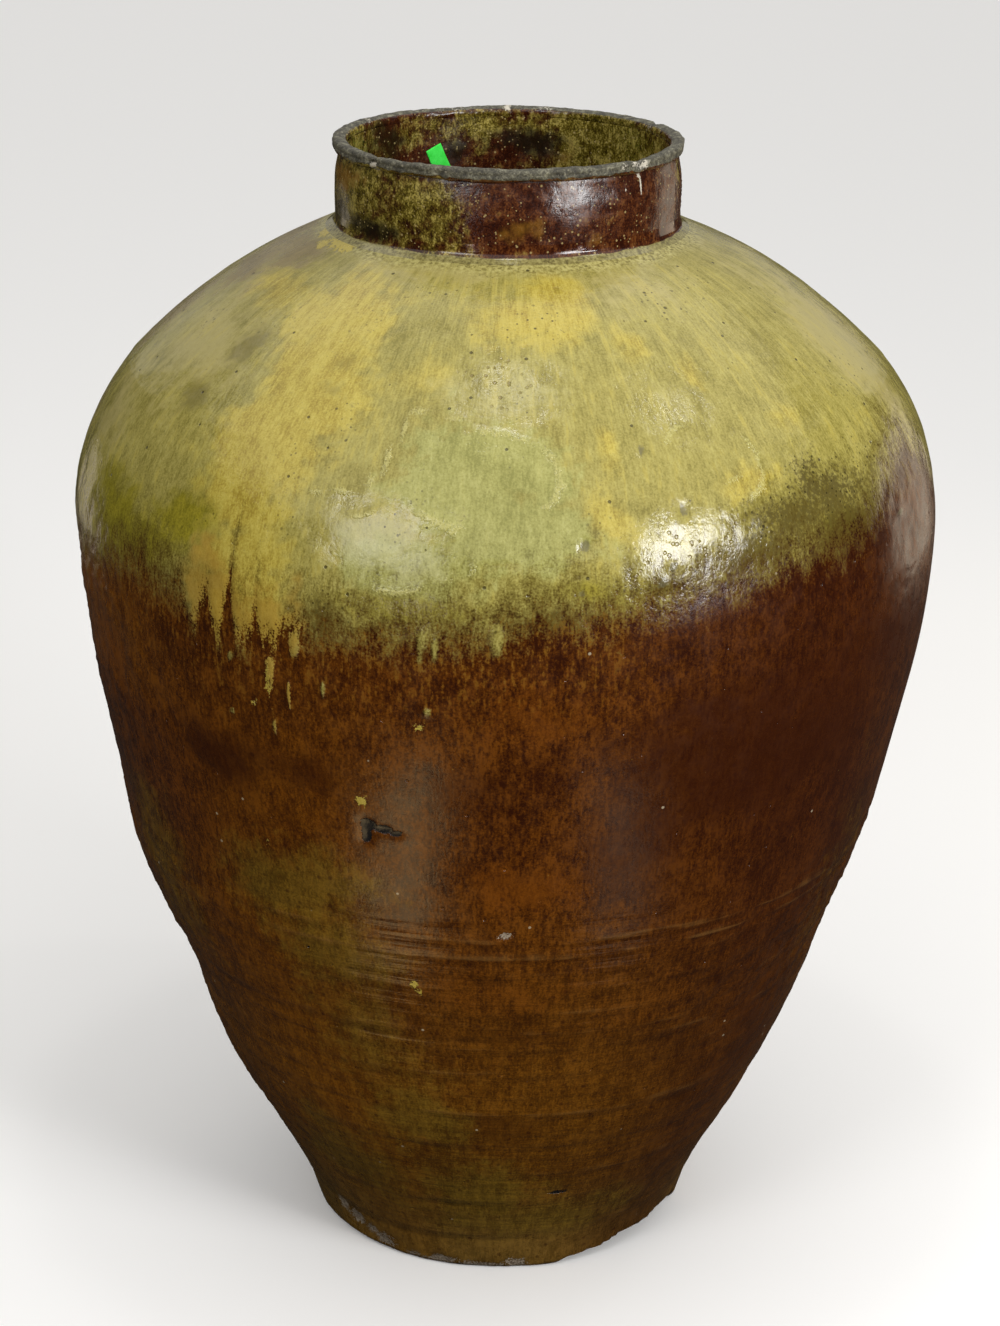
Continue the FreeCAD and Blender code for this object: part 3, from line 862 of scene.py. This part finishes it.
def ash_coat(f):
    """Colour of the ash glaze: khaki, with zones of ochre, olive, grey and soot."""
    khaki = f.shades(0.41, (130, 120, 54), (156, 145, 74), (174, 163, 90))
    ochre = f.shades(0.41, (154, 132, 48), (180, 161, 68), (196, 179, 86))
    pale = f.shades(0.41, (136, 135, 70), (158, 156, 88), (176, 174, 106))
    olive = f.shades(0.41, (104, 97, 8), (150, 138, 28))
    taupe = f.shades(0.42, (104, 86, 50), (142, 124, 82))
    by_neck = f.tones(f.speckle, (0.36, 0.5, 0.64), (106, 96, 52), (168, 158, 94), (196, 186, 120))
    yellow = (f.wide_run * 0.45 + f.drawn * 0.35 + f.broad * 0.2).step(0.52, 0.63)
    soot = f.wander * 0.4 + about_zero((f.speckle, 1.3), (f.grain, 0.8))
    sooty = (f.zone("speckled") * 0.75 + soot).step(0.15, 0.7)
    peppered = (f.zone("speckled") * 0.8 + f.broad - 0.2).step(0.3, 0.55)
    pepper = f.specks(190, 0.24, 0.3).most(f.specks(330, 0.3, 0.3)) * peppered
    return f.layered(
        khaki,
        # grey khaki with painted sheen
        ((174, 161, 100), f.patch("grey_khaki_and_sheen", f.wander * 0.6, 0.25, 0.8) * 0.8),
        (ochre, f.patch("ochre", f.wander * 0.5, 0.2, 0.75)),
        ((186, 168, 76), yellow * 0.4),
        (pale, f.patch("grey_green", f.wander * 0.35, 0.2, 0.55) * 0.8),
        # pale glaze with painted highlight
        ((188, 184, 134), f.patch("pale_glaze_and_sheen", f.wander * 0.5, 0.25, 0.85) * 0.4),
        (olive, f.patch("olive", f.wander * 0.6, 0.12, 0.95) * 0.9),
        (taupe, f.patch("taupe", f.wander * 0.8, 0.2, 0.9) * 0.85),
        ((112, 102, 50), f.patch("smudge", f.wander * 0.8, 0.3, 0.85) * 0.7),
        ((58, 46, 20), sooty * 0.8),
        (by_neck, f.patch("by_neck", f.wander * 0.9, 0.25, 0.95) * 0.75),
        ((34, 27, 12), pepper * 0.85),
    )


def brown_coat(f):
    """Colour of the brown glaze, thin towards the foot: painted light there and on the left, painted shade
    at the right, moss, rings painted lit and shaded, and flecks.
    """
    mixed = f.tone + about_zero((f.drawn, 0.26), (f.speckle, 0.2))
    brown = f.tones(mixed, (0.41, 0.5, 0.59), (48, 17, 2), (77, 38, 3), (106, 58, 8))
    thin = f.shades(0.42, (92, 56, 8), (116, 75, 13), (141, 95, 22))
    # Painted light: a paler, warmer brown laid on the left of the body
    warm = f.shades(0.42, (152, 88, 6), (188, 117, 10), (218, 144, 18))
    # Painted shade: a darker brown laid on the right of the body
    dim = f.shades(0.42, (43, 13, 2), (54, 19, 2), (68, 27, 3))
    foot = f.shades(0.42, (94, 74, 28), (134, 110, 54))
    moss = f.shades(0.42, (84, 66, 16), (126, 100, 30))
    mossy = f.patch("moss", f.drift * 0.6, 0.15, 1.05) * f.zone("moss").step(0.05, 0.4)
    strokes = about_zero((f.thrown_lines, 1.2), (f.middle, 0.4))
    # Painted highlight and wear on the raised rings and thrown lines, and painted shade in their grooves
    ring_light_and_shade = f.zone("ring") * 0.8 + strokes * f.zone("thrown")
    fleck = (f.drawn * 0.6 + f.speckle * 0.4 + f.wander * 0.1).step(0.52, 0.64)
    below_ash = f.zone("ash").step(-85, 0)
    # Flecks stay off the painted shade at the right and off the dark red zones
    shade_and_dark_red = (f.zone("dim_side") * 2.5).most(f.zone("dark_red")).step(0.1, 0.8)
    return f.layered(
        brown,
        # thinner glaze and painted light towards the foot
        (thin, f.zone("thin_brown") * 0.6),
        (foot, f.zone("foot") * 0.55),
        # painted light on the left
        (warm, f.zone("warm_side") * 0.1),
        # painted shade at the right
        (dim, f.zone("dim_side") * 0.7),
        ((118, 64, 9), f.patch("amber", f.drift * 0.7, 0.3, 0.95) * 0.55),
        ((54, 20, 2), f.patch("dark_red", f.drift * 0.5, 0.15, 0.9) * 0.75),
        (moss, mossy * 0.75),
        # painted highlight and wear on the ridges, painted shade in the grooves
        ((136, 98, 50), ring_light_and_shade.step(0.12, 0.7) * 0.38),
        ((40, 18, 4), (ring_light_and_shade * -1).step(0.12, 0.75) * 0.38),
        ((48, 16, 4), f.specks(150, 0.3, 0.3) * 0.5),
        ((132, 92, 26), fleck * below_ash * (1 - shade_and_dark_red) * 0.72),
    )


def body_glaze(name):
    """Brown glaze, ash glaze and the ragged run between them, from the zones painted on the piece."""
    f = BodyFinish(name)
    combed = f.zone("combed").step(0.25, 0.7)
    strays = about_zero((f.wide_run, 30), (f.middle, 50), (f.broad, 20)) * (1 - combed * 0.8)
    above = f.zone("ash") + strays
    edge = above + about_zero((f.fine, 26), (f.drawn, 20), (f.grain, 42))
    soft_cover = edge.step(-20, 18)
    cover = soft_cover + (edge.step(-7, 6) - soft_cover) * combed
    thin = edge.step(40, -2) * (1 - f.zone("drip").most(combed) * 0.85)
    ash = f.layered(ash_coat(f), ((176, 136, 48), combed * 0.6), ((96, 82, 30), thin * 0.75))

    grit = f.grain - 0.5
    flake = f.patch("flake", about_zero((f.speckle, 1.6), (f.grain, 0.5)), 0.44, 0.6)
    rim = f.patch("rim", grit * 0.8, 0.4, 0.9)
    blisters = f.specks(240, 0.36, 0.55) * f.zone("blistered").step(0.15, 0.7)
    pinholes = f.specks(85, 0.11, 0.28)
    pops = f.specks(62, 0.075, 0.16)
    black = f.patch("black", grit * 0.35, 0.42, 0.52)
    bare = f.patch("bare", grit * 1.2 + f.wander * 0.5, 0.5, 0.66)
    clay = f.tones(f.grain, (0.35, 0.62), (84, 68, 52), (160, 146, 126))
    inner_clay = f.tones(f.middle, (0.3, 0.7), (84, 58, 38), (128, 96, 66))
    skin = f.layered(
        brown_coat(f),
        (ash, cover),
        ((186, 166, 70), flake * 0.9),
        ((190, 182, 112), rim * 0.6),
        ((104, 84, 40), blisters * 0.6),
        ((40, 32, 14), pinholes * cover * 0.75),
        ((180, 166, 138), pops * (1 - cover) * 0.8),
        ((96, 90, 66), f.patch("pit", grit * 0.5, 0.4, 0.7) * 0.7),
        ((22, 22, 24), black),
        (clay, bare),
        # Painted shade: the foot's broken face is painted dark, as if in shadow
        ((36, 24, 12), f.patch("broken", f.wander * 0.6, 0.3, 0.6) * 0.9),
    )
    glazed = f.zone("glazed")
    base = f.blend(inner_clay, skin, glazed)

    dull = (bare + f.zone("taupe") * 0.4).most(1 - glazed)
    rough = 0.19 - cover * 0.11 + f.middle.step(0.3, 0.8) * 0.14 + f.fine * 0.06 + dull * 0.4
    rough = rough + f.zone("pale_glaze_and_sheen").step(0.1, 0.7) * 0.16
    thick = above.step(-20, 18)
    relief = f.fine * 0.00008 + f.grain * 0.00004 + f.middle * (thick * 0.0003 + 0.0003) + thick * 0.0003
    relief = relief + rim * 0.0003 + flake * 0.0002 + f.thrown_lines * f.zone("thrown") * 0.0007
    relief = relief - pinholes * 0.0004 - blisters * 0.0004 - black * 0.0005 - bare * 0.0006
    return f.close(base, rough, relief, 0.45)


def neck_coat(f):
    """Colour, roughness and relief of the dark maroon glaze that breaks to olive and amber."""
    fine_run = f.noise(300, 3, f.streaked(0.7, 0.7))
    mottle = f.noise(120, 5, rough=0.66)
    patches = f.noise(45, 3)
    grain = f.noise(900, 2)
    uneven = about_zero((fine_run, 0.3), (mottle, 0.9), (patches, 1.0))
    tone = fine_run * 0.25 + mottle * 0.4 + grain * 0.35 + patches * 0.1
    spread = (0.46, 0.55, 0.64)
    maroon = f.tones(tone, spread, (40, 14, 6), (64, 28, 11), (102, 58, 25))
    olive = f.tones(tone, spread, (50, 40, 6), (98, 85, 24), (168, 151, 76))
    white = f.patch("white", about_zero((grain, 0.9)), 0.4, 0.55)
    base = f.layered(
        maroon,
        (olive, (f.zone("olive") * 0.95 + uneven * 1.6).step(0.25, 0.9)),
        ((122, 84, 24), f.patch("amber", uneven, 0.4, 1.0) * 0.75),
        ((24, 19, 8), f.patch("dark", uneven * 0.8, 0.3, 0.85) * 0.85),
        ((176, 156, 104), f.specks(210, 0.2, 0.36).most(f.specks(400, 0.27, 0.3)) * 0.7),
        ((204, 196, 178), white),
    )
    rough = 0.18 + mottle.step(0.3, 0.8) * 0.2 + white * 0.2
    relief = fine_run * 0.0001 + mottle * 0.0003 + patches * 0.0008 + grain * 0.00006 + white * 0.0003
    return base, rough, relief


def neck_glaze(name):
    """The neck's glaze, over ash at the foot of the neck."""
    f = Finish(name)
    base, rough, relief = neck_coat(f)
    speckle = f.noise(420, 3, rough=0.6)
    ash = f.tones(speckle, (0.34, 0.5, 0.66), (92, 82, 44), (134, 124, 70), (158, 148, 92))
    base = f.blend(base, ash, f.zone("ash_ring").step(0.3, 0.7))
    thumbed = f.zone("thumbed")
    rough = rough - thumbed * 0.12
    relief = relief * (1 - thumbed * 0.9)
    return f.close(base, rough, relief, 0.5)


def bare_lip(name):
    """Weathered grey stoneware with pale chips, and the neck's glaze where it climbs onto the roll."""
    f = Finish(name)
    coat, coat_rough, coat_relief = neck_coat(f)
    grain = f.noise(800, 3, rough=0.65)
    mottle = f.noise(170, 5, rough=0.7)
    mixed = mottle * 0.6 + grain * 0.4
    stone = f.tones(mixed, (0.38, 0.5, 0.62), (42, 39, 31), (83, 79, 64), (140, 136, 114))
    chip = f.patch("chip", about_zero((grain, 1.5), (mottle, 1.6)), 0.56, 0.74)
    glazed = f.patch("glazed", about_zero((mottle, 0.8), (grain, 0.5)), 0.42, 0.58) * (1 - chip)
    base = f.layered(
        stone,
        ((176, 168, 146), f.specks(260, 0.25, 0.22) * 0.6),
        ((204, 196, 178), chip),
        (coat, glazed),
    )
    stone_rough = 0.5 + grain * 0.25
    rough = stone_rough + (coat_rough - stone_rough) * glazed
    relief = (grain * 0.0005 + mottle * 0.0012 - chip * 0.0005) * (1 - glazed) + coat_relief * glazed
    return f.close(base, rough, relief, 0.5)


def raw_clay(name):
    """Rough fired clay of the coils inside, streaked by the fingers that smeared them."""
    f = Finish(name)
    grain = f.noise(600, 3)
    smear = f.noise(90, 3, f.streaked(3.0, 0.3))
    mixed = smear * 0.6 + grain * 0.4
    base = f.tones(mixed, (0.35, 0.5, 0.66), (86, 58, 38), (118, 86, 58), (146, 112, 80))
    rough = 0.7 + grain * 0.2
    relief = grain * 0.0003 + smear * 0.001
    return f.close(base, rough, relief, 0.4)


def green_paper(name):
    """Bright green label paper with faint creases."""
    f = Finish(name)
    fibre = f.noise(1500, 3)
    crease = f.noise(180, 2)
    base = f.tones(fibre * 0.4 + crease * 0.6, (0.35, 0.65), (36, 226, 52), (76, 250, 92))
    rough = 0.5 + fibre * 0.2
    return f.close(base, rough, fibre * 0.00005 + crease * 0.0003, 0.4)


RECIPES = {
    "brown_glaze": body_glaze, "ash_glaze": body_glaze, "neck_glaze": neck_glaze,
    "bare_lip": bare_lip, "raw_clay": raw_clay, "green_paper": green_paper,
}
FINISHES = {name: make(name) for name, make in RECIPES.items()}


def dress(piece, node, slot):
    """A new piece that stands for a node, in the finish of its slot."""
    piece.data.materials.clear()
    piece.data.materials.append(FINISHES[slot])
    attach(piece, "root")
    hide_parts(node)


foot = turned("foot_slab", base_outline(), closed=False)
lower_body = turned("lower_body", lower_outline())
belly = turned("belly", wall_outline(LOWER_SEAM, BELLY_SEAM))
dome = turned("shoulder_dome", shoulder_outline())
neck = turned("neck", neck_outline())
cove = turned("neck_cove", cove_outline())
lip_section = [
    (LIP_RADIUS + LIP_SECTION * math.cos(turn), LIP_LEVEL + LIP_SECTION * math.sin(turn))
    for turn in np.linspace(0, math.tau, LIP_SIDES, endpoint=False)
]
lip = turned("lip_roll", lip_section)
label = paper_label()

for section in (foot, lower_body, belly, dome):
    shape_body(section)
shape_neck(neck)
shape_neck(cove, thumbed=1.0)
shape_lip(lip)

dress(foot, "base_disc", "brown_glaze")
dress(lower_body, "lower_wall", "brown_glaze")
dress(belly, "belly_wall", "brown_glaze")
dress(dome, "shoulder", "ash_glaze")
dress(neck, "neck_collar", "neck_glaze")
dress(cove, "neck_seam_coil", "neck_glaze")
dress(lip, "rolled_lip", "bare_lip")
dress(label, "price_label", "green_paper")
for coil in ("base_coil", "lower_seam_coil", "belly_seam_coil"):
    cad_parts[coil].data.materials.clear()
    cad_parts[coil].data.materials.append(FINISHES["raw_clay"])

# Stage: a pale floor, soft light and the camera. Its lengths are in metres.
FLOOR_HALF = 60.0
SKY_TINT = (1.0, 0.86, 0.66)
GLINT_TINT = (1.0, 0.9, 0.95)
PLAIN_TINT = (1.0, 1.0, 1.0)
ROOM_TINT = (1.0, 0.93, 0.86, 1.0)
ROOM_STRENGTH = 0.06

# Wide suns: name, strength, angle and tilt in degrees
SUNS = [("overhead", 2.0, 120, 10), ("behind", 0.4, 80, -55)]

# Panels that face the jar: name, azimuth, elevation, distance, width, height, radiance, and tint if any
PANELS = [
    ("right_window", 41, 14.5, 2.4, 0.4, 0.92, 22.5),
    ("right_pane", 52.5, 17, 2.4, 0.5, 0.34, 22.5),
    ("right_glint", 48, -1.5, 2.4, 0.2, 0.14, 14.0, GLINT_TINT),
    ("left_window", -33, 26, 2.6, 0.9, 0.9, 5.7),
    ("left_glint", -22, -2, 2.4, 0.2, 0.14, 9.0, GLINT_TINT),
    ("right_sky", 128, -6, 1.7, 0.7, 0.72, 1.25, SKY_TINT),
    ("left_sky", -135, -11, 1.6, 0.3, 0.4, 0.8, SKY_TINT),
    ("side_lamp", 87, 59.4, 2.2, 0.05, 0.3, 30.0),
    ("top_lamp", 0, 82, 2.0, 0.2, 0.2, 18.0),
]

# Glowing cards that lie on the floor: name, place across and towards the viewer, length, radiance, tint
CARDS = [
    ("left_card", -0.24, -0.585, 0.38, 2.3, (1.0, 0.72, 0.36)),
    ("right_card", 0.30, -0.59, 0.30, 0.8, (1.0, 0.78, 0.56)),
]
CARD_LIFT = 0.004
CARD_WIDTH = 0.14
AIM = Vector((0, 0, 0.55))


def pale_floor():
    """A wide plain floor."""
    bm = bmesh.new()
    bmesh.ops.create_grid(bm, x_segments=1, y_segments=1, size=FLOOR_HALF)
    floor = piece_from(bm, "floor")
    f = Finish("pale_floor")
    seen = f.node("LightPath", output="Is Camera Ray")
    tone = f.blend((50, 48, 46), (250, 249, 247), seen)
    floor.data.materials.append(f.close(tone, 0.9, f.noise(40) * 0.00002, 0.0))


def around(azimuth, elevation, distance):
    """A place as seen from the jar's middle."""
    turn, rise = math.radians(azimuth), math.radians(elevation)
    way = Vector((math.sin(turn) * math.cos(rise), -math.cos(turn) * math.cos(rise), math.sin(rise)))
    return AIM + way * distance


def panel(name, place, target, width, height, radiance, tint=PLAIN_TINT):
    """A rectangular light that faces a target, seen in the glaze at that brightness."""
    lamp = bpy.data.lights.new(name, "AREA")
    lamp.shape = "RECTANGLE"
    lamp.size = width
    lamp.size_y = height
    lamp.energy = radiance * math.pi * width * height
    lamp.color = tint
    light = placed(name, lamp)
    light.location = place
    light.rotation_euler = (place - target).to_track_quat("Z", "Y").to_euler()
    light.visible_camera = False


def stage_light():
    """Wide soft suns, windows at both sides of the camera, cards on the floor and a dim room."""
    for name, energy, angle, tilt in SUNS:
        lamp = bpy.data.lights.new(name, "SUN")
        lamp.energy = energy
        lamp.angle = math.radians(angle)
        placed(name, lamp).rotation_euler = (math.radians(tilt), 0, 0)
    for name, azimuth, elevation, distance, *look in PANELS:
        panel(name, around(azimuth, elevation, distance), AIM, *look)
    for name, across, near, length, radiance, tint in CARDS:
        place = Vector((across, near, CARD_LIFT))
        panel(name, place, place + Vector((0, 0, 1)), CARD_WIDTH, length, radiance, tint)
    world = bpy.data.worlds.new("room")
    world.use_nodes = True
    room = world.node_tree.nodes["Background"].inputs
    room["Color"].default_value = ROOM_TINT
    room["Strength"].default_value = ROOM_STRENGTH
    bpy.context.scene.world = world


CAMERA_PLACE = Vector((0.0, -1.8915, 1.1096))
CAMERA_DOWN, CAMERA_TURN, CAMERA_ROLL = np.radians((20.62, 0.0573, 0.613))
LENS = 80.25
SENSOR = 36.0


def stage_camera():
    """The photograph's view, a little from above."""
    lens = bpy.data.cameras.new("camera")
    lens.lens = LENS
    lens.sensor_width = SENSOR
    camera = placed("camera", lens)
    tilt = Matrix.Rotation(math.pi / 2 - CAMERA_DOWN, 4, "X")
    turn = Matrix.Rotation(CAMERA_TURN, 4, "Z")
    roll = Matrix.Rotation(CAMERA_ROLL, 4, "Z")
    camera.matrix_world = Matrix.Translation(CAMERA_PLACE) @ turn @ tilt @ roll
    bpy.context.scene.camera = camera


pale_floor()
stage_light()
stage_camera()
bpy.context.scene.view_settings.view_transform = "Standard"
